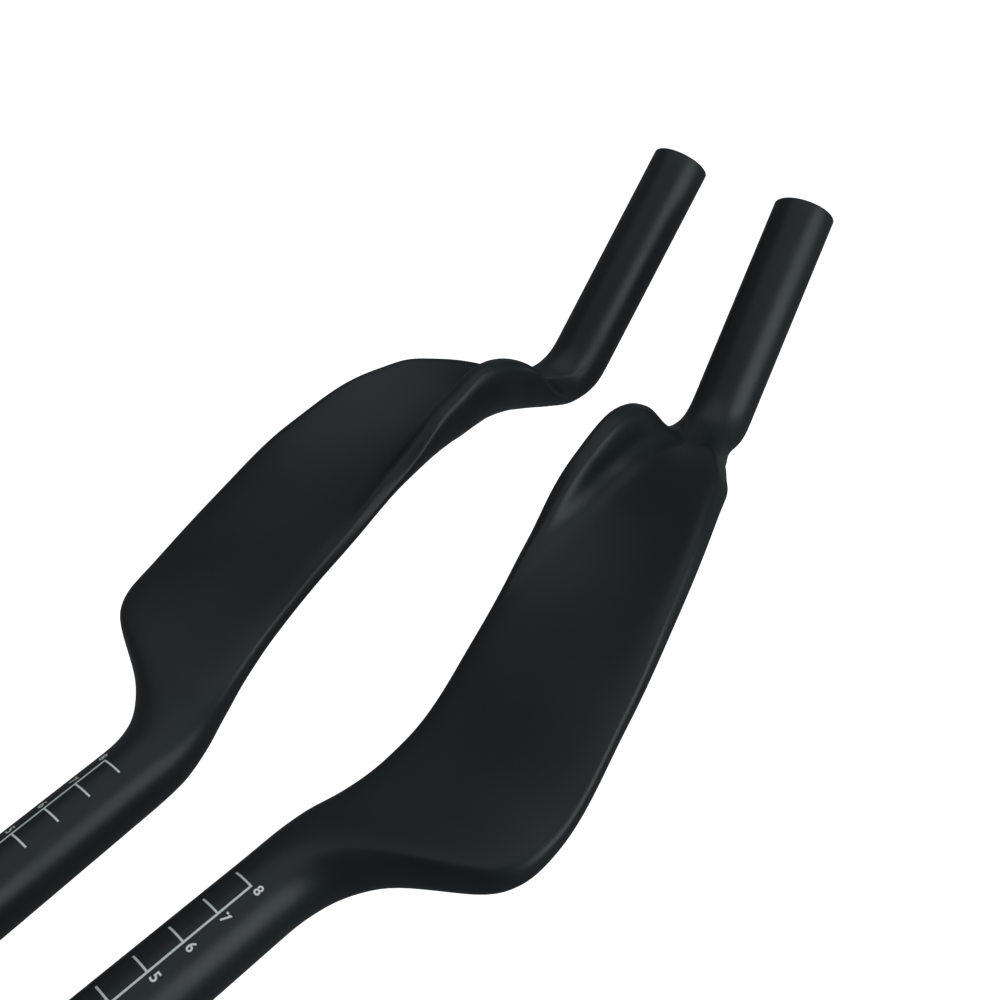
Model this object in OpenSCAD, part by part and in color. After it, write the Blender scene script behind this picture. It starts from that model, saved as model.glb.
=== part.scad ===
// Pair of hollow moulded aero extensions for a time trial handlebar.
// The origin lies midway between the two clamp tubes, at the clamps. +X is the rider's right, +Y forward, +Z up.
// The left extension is the mirror image of the right one.

/* [Clamp tubes] */
// Outer diameter of the round tube that the clamps hold
tube_d = 22.2; // [20:0.1:25]
// Length of round tube behind the clamps
tube_back = 70; // [40:1:160]
// Length of round tube between the clamps and the neck of the cradle
tube_front = 42; // [30:1:90]
// Distance between the axes of the two tubes at the clamps
clamp_spacing = 57.3; // [50:0.1:140]
// Angle that each tube turns outwards towards the front
toe_out = 2.8; // [0:0.1:8]

/* [Forearm cradles] */
// Length of the cradle from its neck to the root of the grip
cradle_len = 236; // [180:1:280]
// Width of the cradle measured round its curve
cradle_w = 60; // [50:1:72]
// Thickness of the hollow blade
cradle_t = 9; // [8:0.5:13]
// Rounding along the rims of the cradle
rim_r = 2.2; // [1:0.1:3.5]
// Height of the cradle floor over the tube axis
cradle_rise = 40; // [25:1:55]
// Sideways swing of the cradle behind the elbow pad area
cradle_swing = 27; // [15:1:35]
// Tilt of the cradle floor about its length
cradle_tilt = 12; // [0:1:18]
// Angle that the inner wall turns up
cup_inner = 95; // [50:1:110]
// Angle that the outer wall turns up
cup_outer = 70; // [30:1:90]

/* [Grips] */
// Outer diameter of the round grip
grip_d = 22.2; // [20:0.1:25]
// Length of the straight grip on the left extension
left_grip_len = 67.5; // [50:0.5:120]
// Length of the straight grip on the right extension
right_grip_len = 58.5; // [50:0.5:120]
// Angle of the grip over the horizontal
grip_pitch = 43; // [30:1:55]
// Angle that the grip leans inwards, seen from above
grip_cant = 6.5; // [0:0.5:12]
// Height of the grip root over the cradle floor
grip_step = 9.3; // [6:0.1:16]
// Inward shift of the grip root from the tube axis
grip_shift = 10.8; // [4:0.1:16]

/* [Moulding] */
// Wall of the hollow moulding
wall = 1.5; // [1:0.1:2.5]
// Chamfer at the cut ends of the tube and the grip
end_ease = 0.5; // [0.2:0.1:0.8]

/* [Hidden] */
shell_colour = "#1e2326";
// Sides of a section and rings between two stations, for the outer skin and for the inner one
outer_sides = 44;
outer_steps = 3;
inner_sides = 28;
inner_steps = 2;
// A skin passes the end of its round tube by this much
lap = 0.04;
// Length over which a round tube runs into the cradle
seat = 0.6;

// Stations of the cradle from the neck (0) to the root of the grip (1). The columns are shares of the sizes above:
// place, swing, shift, rise, join to the grip axis, lean, tilt, width, thinness, inner cup, outer cup, rim rounding
stations = [
    [0.00, 0.00, 0.00, 0.00, 0.0, 0.00, 0.00, 0.00, 0.00, 0.00, 0.00, 0.00],
    [0.01, 0.00, 0.00, 0.00, 0.0, 0.00, 0.00, 0.00, 0.00, 0.00, 0.00, 0.00],
    [0.05, 0.04, 0.00, 0.015, 0.0, 0.00, 0.55, 0.06, 0.12, 0.10, 0.15, 0.10],
    [0.10, 0.26, 0.00, 0.075, 0.0, 0.00, 0.95, 0.28, 0.38, 0.18, 0.20, 0.30],
    [0.16, 0.84, 0.00, 0.14, 0.0, 0.00, 0.90, 0.86, 0.64, 0.20, 0.04, 0.55],
    [0.25, 1.01, 0.00, 0.315, 0.0, 0.00, 1.13, 0.92, 0.87, 0.32, -0.18, 0.85],
    [0.37, 0.88, 0.00, 0.56, 0.0, 0.08, 1.37, 0.93, 1.00, 0.56, -0.06, 0.95],
    [0.50, 0.655, 0.00, 0.755, 0.0, 0.12, 1.10, 0.99, 1.04, 0.84, 0.35, 0.95],
    [0.62, 0.35, 0.00, 0.91, 0.0, 0.16, 0.15, 1.10, 1.02, 1.15, 0.82, 0.95],
    [0.69, 0.12, 0.00, 0.97, 0.0, 0.20, -0.50, 1.09, 1.02, 1.20, 1.05, 0.95],
    [0.74, 0.00, 0.31, 0.97, 0.0, 0.22, -1.10, 0.99, 0.98, 1.18, 1.23, 0.95],
    [0.785, 0.00, 0.60, 0.93, 0.0, 0.32, -0.80, 0.78, 0.85, 1.14, 1.15, 0.85],
    [0.825, 0.00, 0.61, 0.84, 0.0, 0.48, -0.10, 0.36, 0.60, 0.92, 0.80, 0.65],
    [0.87, 0.00, 0.71, 0.81, 0.0, 0.62, 0.37, 0.02, 0.35, 0.55, 0.43, 0.35],
    [0.905, 0.00, 0.73, 0.89, 0.3, 0.80, 0.44, 0.00, 0.09, 0.29, 0.20, 0.09],
    [0.95, 0.00, 0.86, 0.98, 1.0, 0.95, 0.00, 0.00, 0.00, 0.00, 0.00, 0.00],
    [0.99, 0.00, 0.976, 1.00, 1.0, 1.00, 0.00, 0.00, 0.00, 0.00, 0.00, 0.00],
    [1.00, 0.00, 1.00, 1.00, 1.0, 1.00, 0.00, 0.00, 0.00, 0.00, 0.00, 0.00]
];
last = len(stations) - 1;

// Smooth value of one column between two stations, with no overshoot
function secant(c, i) = (stations[i + 1][c] - stations[i][c]) / (stations[i + 1][0] - stations[i][0]);
function slope(c, i) =
    i == 0 ? secant(c, 0) :
    i == last ? secant(c, last - 1) :
    secant(c, i - 1) * secant(c, i) <= 0 ? 0 :
    2 * secant(c, i - 1) * secant(c, i) / (secant(c, i - 1) + secant(c, i));
function share(c, i, t) =
    let (
        h = stations[i + 1][0] - stations[i][0],
        a = stations[i][c],
        b = stations[i + 1][c]
    )
    a * (1 + 2 * t) * pow(1 - t, 2) + b * t * t * (3 - 2 * t)
    + h * t * (1 - t) * (slope(c, i) * (1 - t) - slope(c, i + 1) * t);

// Point of a flat rounded section, bent up on each side of its middle
function bend_k(half, angle) = max(abs(angle), 0.01) * sign(angle + 0.001) / half;
function bent(x, z, k) = [(180 / PI / k - z) * sin(k * x), 180 / PI / k - (180 / PI / k - z) * cos(k * x)];

// Point of the grip's axis, carried on backwards, at a distance along Y before the root of the grip
function grip_line(back) = [
    -grip_shift + back * tan(grip_cant),
    tube_front + cradle_len - back,
    cradle_rise + grip_step - back * tan(grip_pitch) / cos(grip_cant)
];

// One ring of a skin that lies the given depth under the outer surface
function ring(i, t, depth, sides) =
    let (
        round_d = stations[i][0] < 0.5 ? tube_d : grip_d,
        fit = 1 / cos(180 / sides),
        width = round_d + (cradle_w - round_d) * share(7, i, t),
        thick = round_d + (cradle_t - round_d) * share(8, i, t),
        half = (width / 2 - depth) * fit + lap,
        deep = (thick / 2 - depth) * fit + lap,
        edge = max(0.5, round_d / 2 + (rim_r - round_d / 2) * share(11, i, t) - depth),
        lean = grip_pitch * share(5, i, t),
        cant = grip_cant * share(5, i, t),
        tilt = cradle_tilt * share(6, i, t),
        k_in = bend_k(width / 2, cup_inner * share(9, i, t)),
        k_out = bend_k(width / 2, cup_outer * share(10, i, t)),
        place = share(0, i, t),
        free = [
            cradle_swing * share(1, i, t) - grip_shift * share(2, i, t),
            tube_front + cradle_len * place,
            cradle_rise * share(3, i, t)
        ],
        joined = share(4, i, t),
        mid = free * (1 - joined) + grip_line(cradle_len * (1 - place)) * joined
    )
    [
        for (s = [0 : sides - 1])
            let (
                c = cos(360 * s / sides),
                d = sin(360 * s / sides),
                x = (half - edge) * sin(90 * c) + edge * c,
                z = (deep - edge) * sin(90 * d) + edge * d,
                p = bent(x, z, x < 0 ? k_in : k_out),
                a = p[0] * cos(tilt) - p[1] * sin(tilt),
                b = p[0] * sin(tilt) + p[1] * cos(tilt)
            )
            mid + [
                a * cos(cant) + b * sin(cant) * sin(lean),
                a * sin(cant) - b * cos(cant) * sin(lean),
                b * cos(lean)
            ]
    ];

// A closed skin through all the rings
module skin(depth, sides, steps) {
    rings = [
        for (i = [0 : last - 1])
            for (j = [0 : steps - 1])
                ring(i, j / steps, depth, sides),
        ring(last - 1, 1, depth, sides)
    ];
    n = len(rings);
    points = [for (r = rings) each r];
    sides_of = [
        for (r = [0 : n - 2])
            for (s = [0 : sides - 1])
                let (
                    a = r * sides + s,
                    b = r * sides + (s + 1) % sides
                )
                each [[a, b, a + sides], [b, b + sides, a + sides]]
    ];
    rear = [for (s = [sides - 1 : -1 : 0]) s];
    front = [for (s = [0 : sides - 1]) (n - 1) * sides + s];
    polyhedron(points, concat(sides_of, [rear, front]), convexity = 6);
}

// Moves a part to the root of the grip, with its Z axis along the grip
module at_grip() {
    translate([-grip_shift, tube_front + cradle_len, cradle_rise + grip_step])
        rotate([0, 0, grip_cant])
            rotate([grip_pitch - 90, 0, 0])
                children();
}

// Moves a part to the neck, with its Z axis backwards along the clamp tube
module at_neck() {
    translate([0, tube_front, 0])
        rotate([90, 0, 0])
            children();
}

// Round bar that enters the cradle at the lower end, with the outer end eased
module round_bar(d, length) {
    rotate_extrude($fn = 64)
        polygon([
            [0, -seat],
            [d / 2, -seat],
            [d / 2, length - end_ease],
            [d / 2 - end_ease, length],
            [0, length]
        ]);
}

// Bore of a round bar, open at the outer end
module round_bore(d, length) {
    translate([0, 0, -seat])
        cylinder(d = d - 2 * wall, h = length + seat + 1, $fn = 64);
}

// Right extension in its own line, before it is turned out
module extension(grip_len) {
    difference() {
        union() {
            skin(0, outer_sides, outer_steps);
            at_neck() round_bar(tube_d, tube_front + tube_back);
            at_grip() round_bar(grip_d, grip_len);
        }
        skin(wall, inner_sides, inner_steps);
        at_neck() round_bore(tube_d, tube_front + tube_back);
        at_grip() round_bore(grip_d, grip_len);
    }
}

module right_extension() {
    color(shell_colour)
        translate([clamp_spacing / 2, 0, 0])
            rotate([0, 0, -toe_out])
                extension(right_grip_len);
}

module left_extension() {
    color(shell_colour)
        mirror([1, 0, 0])
            translate([clamp_spacing / 2, 0, 0])
                rotate([0, 0, -toe_out])
                    extension(left_grip_len);
}

left_extension();
right_extension();
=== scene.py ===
# Time trial extensions: two hollow moulded bars, mirrored, with a printed insertion scale.
from math import pi, sin, cos, tan, atan2, radians

import bpy
import bmesh
from mathutils import Matrix, Vector


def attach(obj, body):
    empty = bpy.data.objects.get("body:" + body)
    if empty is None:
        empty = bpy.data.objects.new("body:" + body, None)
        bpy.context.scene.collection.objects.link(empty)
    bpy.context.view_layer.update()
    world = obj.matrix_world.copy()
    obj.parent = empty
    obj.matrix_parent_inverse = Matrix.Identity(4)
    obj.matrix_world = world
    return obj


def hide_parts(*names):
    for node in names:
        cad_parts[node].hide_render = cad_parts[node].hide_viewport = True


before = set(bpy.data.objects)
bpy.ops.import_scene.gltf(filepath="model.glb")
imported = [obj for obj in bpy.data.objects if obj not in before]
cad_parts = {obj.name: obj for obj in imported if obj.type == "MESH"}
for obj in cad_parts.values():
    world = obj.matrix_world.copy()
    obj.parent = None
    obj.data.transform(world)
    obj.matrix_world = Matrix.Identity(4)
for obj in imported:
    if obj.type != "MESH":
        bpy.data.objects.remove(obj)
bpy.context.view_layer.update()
mm = 0.001
tiny = 1e-6  # used in place of nought, where a straight stretch would divide by it
print("frame loaded")


# Small helpers

def hexColour(text):
    # sRGB hex to the linear values that shaders use
    parts = [int(text[i:i + 2], 16) / 255 for i in (1, 3, 5)]
    return [p / 12.92 if p <= 0.04045 else ((p + 0.055) / 1.055) ** 2.4 for p in parts] + [1]


def addNode(tree, kind, inputs=None):
    # One node, whose inputs are given values or other nodes' sockets
    node = tree.nodes.new(kind)
    for name, value in (inputs or {}).items():
        if isinstance(value, bpy.types.NodeSocket):
            tree.links.new(value, node.inputs[name])
        else:
            node.inputs[name].default_value = value
    return node


def newMaterial(name):
    material = bpy.data.materials.new(name)
    material.use_nodes = True
    tree = material.node_tree
    tree.nodes.clear()
    return material, tree


def addObject(name, bm, material, smooth=True):
    mesh = bpy.data.meshes.new(name)
    bm.to_mesh(mesh)
    bm.free()
    mesh.materials.append(material)
    mesh.polygons.foreach_set("use_smooth", [smooth] * len(mesh.polygons))
    obj = bpy.data.objects.new(name, mesh)
    bpy.context.scene.collection.objects.link(obj)
    return obj


# The camera, at the photograph's angle, in metres

view = {
    "place": (0.1944, -0.0296, 0.2434),
    "right": (0.7605, 0.6459, -0.0668),  # the way that is right in the picture
    "up": (-0.3446, 0.4886, 0.8015),  # the way that is up in it
    "lens": 38.45,  # mm
    "sensor": 36,  # mm
    "near": 0.01,
    "far": 50,
}


def makeCamera():
    data = bpy.data.cameras.new("camera")
    data.sensor_width = view["sensor"]
    data.lens = view["lens"]
    data.clip_start = view["near"]
    data.clip_end = view["far"]
    data.dof.use_dof = False
    camera = bpy.data.objects.new("camera", data)
    bpy.context.scene.collection.objects.link(camera)
    right = Vector(view["right"]).normalized()
    up = Vector(view["up"])
    up = (up - right * up.dot(right)).normalized()
    back = right.cross(up)
    turn = Matrix((right, up, back)).transposed().to_4x4()
    camera.matrix_world = Matrix.Translation(view["place"]) @ turn
    bpy.context.scene.camera = camera


makeCamera()
print("camera set")


# The lacquer of the bars

coat = {
    "colours": ("#161d21", "#1a2226"),
    "colourEnds": (0.35, 0.65),  # values of the mottle at which each colour is full
    "roughness": (0.39, 0.46),
    "sheenEnds": (0.3, 0.7),  # values of the mottle at which each roughness is reached
    "ior": 1.5,
    "mottleSize": 26,  # mm, slow change of tone and sheen over the surface
    "grainSize": 0.35,  # mm, spacing of the fine spray grain
    "grainDepth": 0.004,  # mm
    "grainStrength": 0.35,
}


def softTouchLacquer():
    # Satin black lacquer sprayed over a carbon laminate: almost black,
    # with broad soft highlights and a fine grain
    material, tree = newMaterial("satinBlackLacquer")
    place = addNode(tree, "ShaderNodeTexCoord").outputs["Object"]
    mottle = addNode(tree, "ShaderNodeTexNoise", {
        "Vector": place, "Scale": 1 / (coat["mottleSize"] * mm), "Detail": 3.0, "Roughness": 0.55})
    grain = addNode(tree, "ShaderNodeTexNoise", {
        "Vector": place, "Scale": 1 / (coat["grainSize"] * mm), "Detail": 2.0, "Roughness": 0.6})
    sheen = addNode(tree, "ShaderNodeMapRange", {
        "Value": mottle.outputs["Fac"],
        "From Min": coat["sheenEnds"][0], "From Max": coat["sheenEnds"][1],
        "To Min": coat["roughness"][0], "To Max": coat["roughness"][1]})
    tint = addNode(tree, "ShaderNodeValToRGB", {"Fac": mottle.outputs["Fac"]})
    for stop, end, colour in zip(tint.color_ramp.elements, coat["colourEnds"], coat["colours"]):
        stop.position = end
        stop.color = hexColour(colour)
    bump = addNode(tree, "ShaderNodeBump", {
        "Strength": coat["grainStrength"], "Distance": coat["grainDepth"] * mm,
        "Height": grain.outputs["Fac"]})
    skin = addNode(tree, "ShaderNodeBsdfPrincipled", {
        "Base Color": tint.outputs["Color"], "Roughness": sheen.outputs["Result"],
        "IOR": coat["ior"], "Normal": bump.outputs["Normal"]})
    addNode(tree, "ShaderNodeOutputMaterial", {"Surface": skin.outputs["BSDF"]})
    return material


# The ink of the scale

inkFilm = {
    "colours": ("#f0f3f2", "#fbfcfc"),
    "colourEnds": (0.3, 0.7),  # values of the patches at which each colour is full
    "patchSize": 1.5,  # mm, uneven thickness of the ink
    "roughness": 0.5,
    "ior": 1.48,
}


def printInk():
    # Pad-printed white ink: opaque, slightly uneven in tone
    material, tree = newMaterial("whitePrintInk")
    place = addNode(tree, "ShaderNodeTexCoord").outputs["Object"]
    patch = addNode(tree, "ShaderNodeTexNoise", {
        "Vector": place, "Scale": 1 / (inkFilm["patchSize"] * mm), "Detail": 2.0})
    tone = addNode(tree, "ShaderNodeValToRGB", {"Fac": patch.outputs["Fac"]})
    for stop, end, colour in zip(tone.color_ramp.elements, inkFilm["colourEnds"], inkFilm["colours"]):
        stop.position = end
        stop.color = hexColour(colour)
    skin = addNode(tree, "ShaderNodeBsdfPrincipled", {
        "Base Color": tone.outputs["Color"], "Roughness": inkFilm["roughness"], "IOR": inkFilm["ior"]})
    addNode(tree, "ShaderNodeOutputMaterial", {"Surface": skin.outputs["BSDF"]})
    return material


lacquer = softTouchLacquer()
ink = printInk()
print("materials ready")


# The moulded bars, in millimetres and degrees

bar = {
    "tubeD": 22.2,
    "tubeBack": 70,  # behind the clamps
    "tubeFront": 42,  # from the clamps to the neck
    "clampSpacing": 57.3,
    "toeOut": 2.8,
    "cradleLen": 236,
    "cradleW": 60,  # round its curve
    "cradleT": 9,
    "rimR": 2.2,
    "cradleRise": 40,
    "cradleSwing": 27,  # outwards
    "cradleTilt": 12,
    "cupInner": 95,  # bend of the inner side, without the fillet
    "cupOuter": 70,
    "wallR": 13,  # fillet between the cradle floor and its inner wall
    "wallTurn": 90,  # angle that the fillet turns through
    "wallH": 12,  # inner wall over the fillet
    "gripD": 22.2,
    # 0.2 under the CAD part's lengths, so that the round easing stays in its box
    "gripLen": {"left": 67.3, "right": 58.3},
    "gripPitch": 43,
    "gripCant": 6.5,  # inwards, seen from above
    "gripStep": 9.3,  # rise from the cradle to the root of the grip
    "gripShift": 10.8,  # inwards from the tube's axis to that root
    "wall": 1.5,  # of the hollow moulding
    "innerRimR": 0.5,  # least rounding along the rims of the inner skin
    "endEase": 0.5,
    "sides": 96,
    "tubeRings": 13,
    "gripRings": 10,
    "easeRings": 5,
    "ringGap": 1.6,  # between the rings of the cradle
    "easeGap": 0.006,  # share of the cradle between two places that are averaged
    "easeWeights": (1, 2, 3, 4, 3, 2, 1),
}

# Shares of the sizes above, from the neck (place 0) to the root of the grip (place 1).
# join goes over to the grip's own axis, thin from the tube's depth to the blade's, and rim
# from a round section to the blade's rim. The wall is the one on the inner side.
columns = [
    "place", "swing", "shift", "rise", "join", "lean", "tilt", "width", "thin",
    "cupInner", "cupOuter", "rim", "wallTurn", "wallH",
]
stations = [
    [0.00, 0.00, 0.00, 0.00, 0.0, 0.00, 0.00, 0.00, 0.00, 0.00, 0.00, 0.00, 0.00, 0.15],
    [0.01, 0.00, 0.00, 0.00, 0.0, 0.00, 0.00, 0.00, 0.00, 0.00, 0.00, 0.00, 0.00, 0.15],
    [0.05, 0.04, 0.00, 0.02, 0.0, 0.00, 0.38, 0.06, 0.11, 0.04, 0.06, 0.10, 0.00, 0.15],
    [0.10, 0.27, 0.00, 0.09, 0.0, 0.00, 0.65, 0.29, 0.37, 0.07, 0.11, 0.35, 0.00, 0.15],
    [0.13, 0.56, 0.00, 0.128, 0.0, 0.00, 0.64, 0.57, 0.52, 0.08, 0.09, 0.50, 0.00, 0.15],
    [0.16, 0.84, 0.00, 0.17, 0.0, 0.00, 0.60, 0.86, 0.66, 0.08, 0.06, 0.64, 0.00, 0.15],
    [0.20, 0.97, 0.00, 0.24, 0.0, 0.00, 0.57, 0.93, 0.79, 0.08, 0.00, 0.77, 0.00, 0.15],
    [0.25, 1.005, 0.00, 0.34, 0.0, 0.00, 0.54, 0.915, 0.90, 0.08, -0.05, 0.87, 0.00, 0.15],
    [0.37, 0.88, 0.00, 0.65, 0.0, 0.08, 0.54, 0.89, 0.99, 0.12, 0.00, 0.95, 0.06, 0.15],
    [0.50, 0.66, 0.00, 0.925, 0.0, 0.18, 0.46, 0.89, 0.98, 0.19, 0.21, 0.95, 0.40, 0.25],
    [0.62, 0.31, 0.00, 1.045, 0.0, 0.22, 0.62, 0.99, 0.95, 0.20, 0.34, 0.98, 0.88, 0.50],
    [0.69, 0.10, 0.00, 1.055, 0.0, 0.17, 0.40, 0.96, 0.90, 0.16, 0.44, 0.98, 0.92, 0.80],
    [0.74, 0.00, 0.14, 1.005, 0.0, 0.07, 0.10, 0.75, 0.86, 0.20, 0.58, 0.95, 0.82, 0.84],
    [0.785, 0.00, 0.43, 0.915, 0.0, 0.12, 0.15, 0.53, 0.82, 0.19, 0.62, 0.89, 0.64, 0.95],
    [0.825, 0.00, 0.48, 0.84, 0.0, 0.40, 0.25, 0.22, 0.66, 0.20, 0.51, 0.68, 0.40, 0.70],
    [0.87, 0.00, 0.67, 0.82, 0.0, 0.70, 0.50, 0.01, 0.35, 0.20, 0.34, 0.35, 0.08, 0.30],
    [0.905, 0.00, 0.73, 0.87, 0.3, 0.90, 0.50, 0.01, 0.09, 0.13, 0.18, 0.09, 0.03, 0.15],
    [0.95, 0.00, 0.86, 0.98, 1.0, 0.95, 0.00, 0.00, 0.00, 0.00, 0.00, 0.00, 0.00, 0.15],
    [0.99, 0.00, 0.976, 1.00, 1.0, 1.00, 0.00, 0.00, 0.00, 0.00, 0.00, 0.00, 0.00, 0.15],
    [1.00, 0.00, 1.00, 1.00, 1.0, 1.00, 0.00, 0.00, 0.00, 0.00, 0.00, 0.00, 0.00, 0.15],
]


def secant(c, i):
    return (stations[i + 1][c] - stations[i][c]) / (stations[i + 1][0] - stations[i][0])


def slope(c, i):
    if i == 0 or i == len(stations) - 1:
        return secant(c, min(i, len(stations) - 2))
    before, after = secant(c, i - 1), secant(c, i)
    return 0 if before * after <= 0 else 2 * before * after / (before + after)


def share(column, s):
    # Smooth value of a column at place s, with no overshoot
    c = columns.index(column)
    i = max(k for k in range(len(stations) - 1) if stations[k][0] <= s)
    gap = stations[i + 1][0] - stations[i][0]
    t = (s - stations[i][0]) / gap
    start, end = stations[i][c], stations[i + 1][c]
    return (start * (1 + 2 * t) * (1 - t) ** 2 + end * t * t * (3 - 2 * t)
            + gap * t * (1 - t) * (slope(c, i) * (1 - t) - slope(c, i + 1) * t))


def eased(column, s):
    # The same value averaged over a short stretch, so that reflections run smoothly past a station
    weights = bar["easeWeights"]
    total = 0
    for k, weight in enumerate(weights):
        near = s + (k - len(weights) // 2) * bar["easeGap"]
        total += share(column, min(1, max(0, near))) * weight
    return total / sum(weights)


def cradleRing(s):
    # Size and place of the section at share s of the cradle.
    # Its rear half grows out of the tube, and its front half closes to the grip
    roundD = bar["tubeD"] if s < 0.5 else bar["gripD"]
    width = roundD + (bar["cradleW"] - roundD) * eased("width", s)
    thick = roundD + (bar["cradleT"] - roundD) * eased("thin", s)
    free = Vector((
        bar["cradleSwing"] * eased("swing", s) - bar["gripShift"] * eased("shift", s),
        bar["tubeFront"] + bar["cradleLen"] * s,
        bar["cradleRise"] * eased("rise", s)))
    pitch, cant = radians(bar["gripPitch"]), radians(bar["gripCant"])
    back = bar["cradleLen"] * (1 - s)
    gripLine = Vector((
        -bar["gripShift"] + back * tan(cant),
        free.y,
        bar["cradleRise"] + bar["gripStep"] - back * tan(pitch) / cos(cant)))
    return {
        "mid": free.lerp(gripLine, eased("join", s)),
        "half": width / 2,
        "deep": thick / 2,
        "edge": roundD / 2 + (bar["rimR"] - roundD / 2) * eased("rim", s),
        "lean": radians(bar["gripPitch"] * eased("lean", s)),
        "cant": radians(bar["gripCant"] * eased("lean", s)),
        "tilt": radians(bar["cradleTilt"] * eased("tilt", s)),
        "bendIn": radians(bar["cupInner"] * eased("cupInner", s)) / (width / 2),
        "bendOut": radians(bar["cupOuter"] * eased("cupOuter", s)) / (width / 2),
        "wallTurn": radians(bar["wallTurn"] * eased("wallTurn", s)),
        "wallH": bar["wallH"] * eased("wallH", s),
    }


def roundRing(mid, radius, lean, cant):
    return {"mid": mid, "half": radius, "deep": radius, "edge": radius, "lean": lean, "cant": cant,
            "tilt": 0, "bendIn": 0, "bendOut": 0, "wallTurn": 0, "wallH": 0}


def bent(ring, x, z):
    # A flat point laid on the section's middle line, which bends gently all the way
    # and has a fillet up to the inner wall
    gentle = ring["bendIn"] if x < 0 else ring["bendOut"]
    turn = ring["wallTurn"] if x < 0 else 0
    fillet = max(bar["wallR"] * turn, tiny)
    flat = ring["half"] - ring["wallH"] - fillet
    reach = abs(x)
    px = pz = angle = 0
    for length, bend in ((min(reach, flat), gentle),
                         (min(max(reach - flat, 0), fillet), gentle + turn / fillet),
                         (max(reach - flat - fillet, 0), gentle)):
        bend = bend if abs(bend) > tiny else tiny
        px += (sin(angle + bend * length) - sin(angle)) / bend
        pz += (cos(angle) - cos(angle + bend * length)) / bend
        angle += bend * length
    px -= z * sin(angle)
    return (-px if x < 0 else px), pz + z * cos(angle)


def ringPoint(ring, angle, depth):
    # A point of the flat rounded section, bent up on each side of its middle and turned into place
    c, s = cos(angle), sin(angle)
    edge = max(bar["innerRimR"], ring["edge"] - depth)
    x = (ring["half"] - depth - edge) * sin(pi / 2 * c) + edge * c
    z = (ring["deep"] - depth - edge) * sin(pi / 2 * s) + edge * s
    x, z = bent(ring, x, z)
    across = x * cos(ring["tilt"]) - z * sin(ring["tilt"])
    up = x * sin(ring["tilt"]) + z * cos(ring["tilt"])
    return ring["mid"] + Vector((
        across * cos(ring["cant"]) + up * sin(ring["cant"]) * sin(ring["lean"]),
        across * sin(ring["cant"]) - up * cos(ring["cant"]) * sin(ring["lean"]),
        up * cos(ring["lean"])))


def barRings(word):
    # Every ring of the bar, from the cut end of the tube to that of the grip, and the grip's direction
    rings = []
    tubeLen = bar["tubeFront"] + bar["tubeBack"]
    for i in range(bar["tubeRings"]):
        y = -bar["tubeBack"] + tubeLen * i / bar["tubeRings"]
        rings.append(roundRing(Vector((0, y, 0)), bar["tubeD"] / 2, 0, 0))
    steps = round(bar["cradleLen"] / bar["ringGap"])
    for i in range(steps + 1):
        rings.append(cradleRing(i / steps))
    lean, cant = radians(bar["gripPitch"]), radians(bar["gripCant"])
    along = Vector((-sin(cant) * cos(lean), cos(cant) * cos(lean), sin(lean)))
    root = Vector((
        -bar["gripShift"],
        bar["tubeFront"] + bar["cradleLen"],
        bar["cradleRise"] + bar["gripStep"]))
    for i in range(1, bar["gripRings"] + 1):
        mid = root + along * bar["gripLen"][word] * i / bar["gripRings"]
        rings.append(roundRing(mid, bar["gripD"] / 2, lean, cant))
    return rings, along


def easedEnd(last, outward):
    # Rings that round off a cut end, each with its depth under the outer skin
    ease = bar["endEase"]
    made = []
    for k in range(bar["easeRings"]):
        a = pi / 2 * k / (bar["easeRings"] - 1)
        ring = dict(last)
        ring["mid"] = last["mid"] - outward * ease * (1 - sin(a))
        made.append((ring, ease * (1 - cos(a))))
    return made


def placed(point, side):
    # From the bar's own line to the shared frame: turned out, moved to its clamp,
    # and mirrored for the left bar
    turned = Matrix.Rotation(-radians(bar["toeOut"]), 3, "Z") @ point
    return Vector((side * (turned.x + bar["clampSpacing"] / 2), turned.y, turned.z)) * mm


def makeBar(word, side):
    rings, along = barRings(word)
    rearEnd = easedEnd(rings[0], Vector((0, -1, 0)))
    frontEnd = easedEnd(rings[-1], along)
    # Outer skin forwards, over the rim of the grip, inner skin backwards, and over the rim of the tube
    path = list(reversed(rearEnd)) + [(r, 0) for r in rings[1:-1]] + frontEnd
    path += [(r, bar["wall"]) for r in reversed(rings)]
    bm = bmesh.new()
    # Each point keeps its angle round the section in a layer, which the extrusion carries along
    turnLayer = bm.verts.layers.float.new("turn")
    verts = bmesh.ops.create_circle(bm, segments=bar["sides"], radius=1)["verts"]
    for v in verts:
        v[turnLayer] = atan2(v.co.y, v.co.x)
    first = edges = list(bm.edges)
    for step, (ring, depth) in enumerate(path):
        if step:
            made = bmesh.ops.extrude_edge_only(bm, edges=edges)["geom"]
            verts = [g for g in made if isinstance(g, bmesh.types.BMVert)]
            inside = set(verts)
            edges = [g for g in made if isinstance(g, bmesh.types.BMEdge)
                     and g.verts[0] in inside and g.verts[1] in inside]
        for v in verts:
            v.co = ringPoint(ring, v[turnLayer], depth)
    bmesh.ops.bridge_loops(bm, edges=edges + first)
    for v in bm.verts:
        v.co = placed(v.co, side)
    bmesh.ops.recalc_face_normals(bm, faces=bm.faces)
    print(word, "extension", len(bm.faces), "faces")
    return addObject(word + "Extension", bm, lacquer)


# The printed scale, in millimetres and degrees

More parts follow.
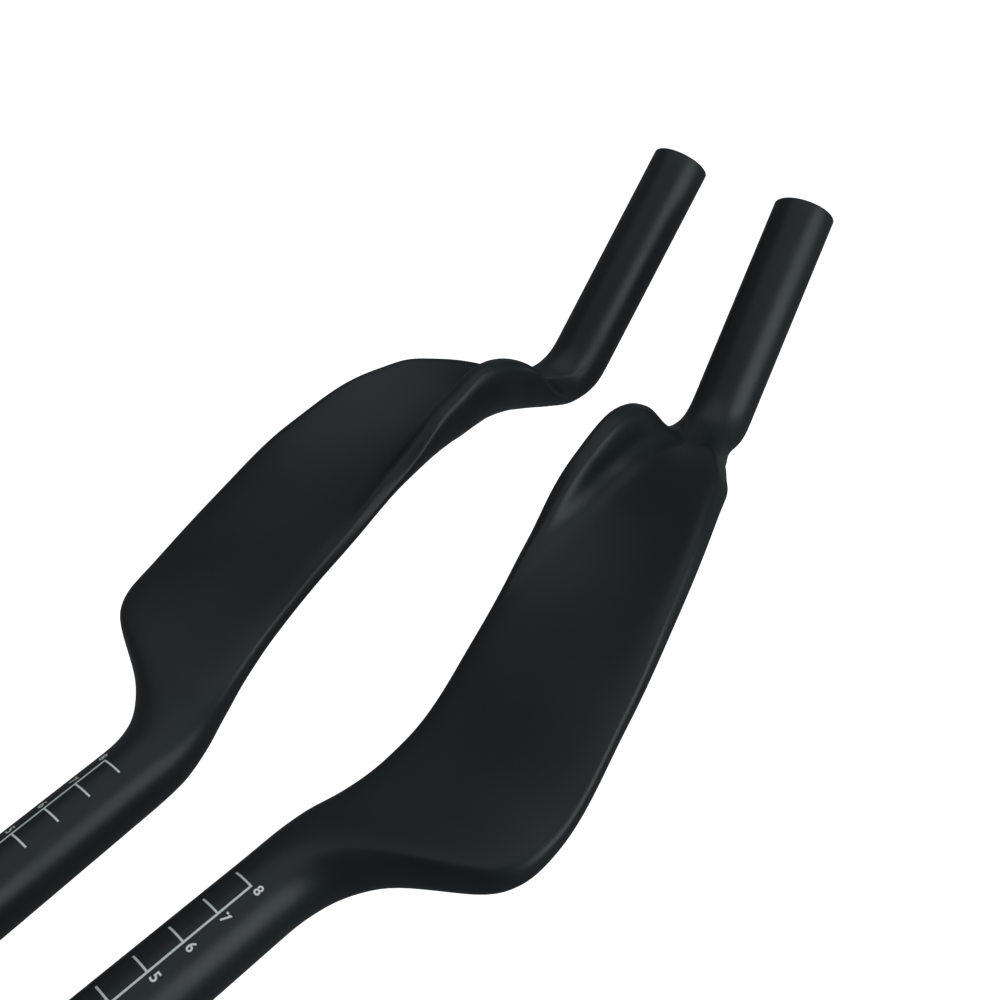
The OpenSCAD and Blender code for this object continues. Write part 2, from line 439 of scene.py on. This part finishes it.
scale = {
    "marks": range(0, 9),
    "zeroMark": 4,  # the mark at the clamps
    "gap": 10,
    "lineAngle": 12,  # outwards from the top of the tube
    "tickAngle": -23,  # free end of the ticks
    "lineW": 0.6,
    "tickW": 0.55,
    "tickLap": 0.1,  # share of half the line's width that a tick overlaps
    "stripCuts": 12,
    "digitH": 2.7,
    "capShare": 0.73,  # height of a digit as a share of the font's size
    "digitBold": 0.08,
    "digitSteps": 6,
    "digitOut": 2.15,  # from the line to the middle of a digit
    "digitAlong": 0.7,  # from the mark to the middle of a digit
    "proud": 0.03,
    "sunk": 0.02,  # depth of the ink's underside, so that no gap shows under it
}


def onTube(arc, y, lift):
    # A flat point, arc mm outwards from the top of the tube and y along it, laid on the tube
    r = bar["tubeD"] / 2
    a = arc / r
    return Vector(((r + lift) * sin(a), y, (r + lift) * cos(a)))


def markPlace(m):
    # How far along the tube mark m lies
    return (m - scale["zeroMark"]) * scale["gap"]


def addStrip(bm, arc0, arc1, y0, y1):
    # A flat printed strip, cut finely enough to follow the tube
    grid = bmesh.ops.create_grid(bm, x_segments=scale["stripCuts"], y_segments=1, size=0.5)["verts"]
    for v in grid:
        v.co = Vector((arc0 + (arc1 - arc0) * (v.co.x + 0.5), y0 + (y1 - y0) * (v.co.y + 0.5), 0))


def digitMesh(text):
    curve = bpy.data.curves.new("digit", "FONT")
    curve.body = text
    curve.size = scale["digitH"] / scale["capShare"]
    curve.offset = scale["digitBold"]
    curve.align_x = "CENTER"
    curve.resolution_u = scale["digitSteps"]
    obj = bpy.data.objects.new("digit", curve)
    bpy.context.scene.collection.objects.link(obj)
    bpy.context.view_layer.update()
    mesh = bpy.data.meshes.new_from_object(obj)
    bpy.data.objects.remove(obj)
    bpy.data.curves.remove(curve)
    return mesh


def addDigit(bm, m, arc, side):
    # A digit reads towards +X on both bars, so the left bar's is turned back before the mirror
    mesh = digitMesh(str(m))
    before = set(bm.verts)
    bm.from_mesh(mesh)
    bpy.data.meshes.remove(mesh)
    digit = [v for v in bm.verts if v not in before]
    xs = [v.co.x for v in digit]
    ys = [v.co.y for v in digit]
    midX, midY = (min(xs) + max(xs)) / 2, (min(ys) + max(ys)) / 2
    for v in digit:
        y = markPlace(m) + scale["digitAlong"] + v.co.y - midY
        v.co = Vector((arc + (v.co.x - midX) * side, y, 0))


def makeScale(word, side):
    # Drawn flat, then made solid and laid on the tube
    bm = bmesh.new()
    r = bar["tubeD"] / 2
    lineArc = radians(scale["lineAngle"]) * r
    tickArc = radians(scale["tickAngle"]) * r
    numbers = scale["marks"]
    half = scale["lineW"] / 2
    tick = scale["tickW"] / 2
    lineEnds = markPlace(numbers[0]) - tick, markPlace(numbers[-1]) + tick
    addStrip(bm, lineArc - half, lineArc + half, *lineEnds)
    tickRoot = lineArc - half * (1 - scale["tickLap"])
    for m in numbers:
        addStrip(bm, tickArc, tickRoot, markPlace(m) - tick, markPlace(m) + tick)
    for m in numbers:
        addDigit(bm, m, lineArc + scale["digitOut"], side)
    bmesh.ops.triangulate(bm, faces=[f for f in bm.faces if len(f.verts) > 4])
    flat = list(bm.faces)
    made = bmesh.ops.extrude_face_region(bm, geom=flat)["geom"]
    top = {g for g in made if isinstance(g, bmesh.types.BMVert)}
    for v in bm.verts:
        lift = scale["proud"] if v in top else -scale["sunk"]
        v.co = placed(onTube(v.co.x, v.co.y, lift), side)
    bmesh.ops.recalc_face_normals(bm, faces=bm.faces)
    return addObject(word + "Scale", bm, ink, smooth=False)


for word, side in (("right", 1), ("left", -1)):
    shell = makeBar(word, side)
    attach(shell, "root")
    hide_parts(word + "_extension")
    marks = makeScale(word, side)
    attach(marks, "root")
print("bars and scales made")


# The floor and the light, in metres

studio = {
    "floorZ": -0.10,
    "floorHalf": 12,  # half its width
    "floorColour": "#f4f4f4",
    "floorRoughness": 0.9,
    "glowColour": "#ffffff",
    "glow": 0.9,
    "skyColour": "#e0ebf0",
    "skyStrength": 0.16,
    "lampColour": "#eef8fa",
    "lampAim": (0.03, 0.15, 0.03),
    "lamps": [
        # power in watts
        {"name": "overhead", "place": (0.0, 0.3, 1.3), "size": 1.6, "power": 4},
        {"name": "rightSide", "place": (1.15, 0.28, 0.44), "size": 1.0, "power": 6.5},
    ],
}


def floorPaint():
    # Matt white paint, with a glow of its own that keeps it pale under the low lamps
    material, tree = newMaterial("paleFloorPaint")
    skin = addNode(tree, "ShaderNodeBsdfPrincipled", {
        "Base Color": hexColour(studio["floorColour"]), "Roughness": studio["floorRoughness"],
        "Emission Color": hexColour(studio["glowColour"]), "Emission Strength": studio["glow"]})
    addNode(tree, "ShaderNodeOutputMaterial", {"Surface": skin.outputs["BSDF"]})
    return material


def makeFloor():
    material = floorPaint()
    bm = bmesh.new()
    bmesh.ops.create_grid(bm, x_segments=1, y_segments=1, size=studio["floorHalf"])
    bmesh.ops.translate(bm, verts=bm.verts, vec=(0, 0, studio["floorZ"]))
    floor = addObject("floor", bm, material)
    floor.visible_glossy = False
    floor.visible_diffuse = False


def makeLamps():
    for row in studio["lamps"]:
        data = bpy.data.lights.new(row["name"], "AREA")
        data.shape = "SQUARE"
        data.size = row["size"]
        data.energy = row["power"]
        data.color = hexColour(studio["lampColour"])[:3]
        lamp = bpy.data.objects.new(row["name"], data)
        bpy.context.scene.collection.objects.link(lamp)
        lamp.location = row["place"]
        lamp.rotation_mode = "QUATERNION"
        aim = Vector(studio["lampAim"]) - Vector(row["place"])
        lamp.rotation_quaternion = aim.to_track_quat("-Z", "Y")


def makeSky():
    world = bpy.data.worlds.new("studio")
    world.use_nodes = True
    sky = world.node_tree.nodes["Background"]
    sky.inputs["Color"].default_value = hexColour(studio["skyColour"])
    sky.inputs["Strength"].default_value = studio["skyStrength"]
    bpy.context.scene.world = world
    bpy.context.scene.view_settings.view_transform = "Standard"


makeFloor()
makeLamps()
makeSky()
print("floor and lights set")
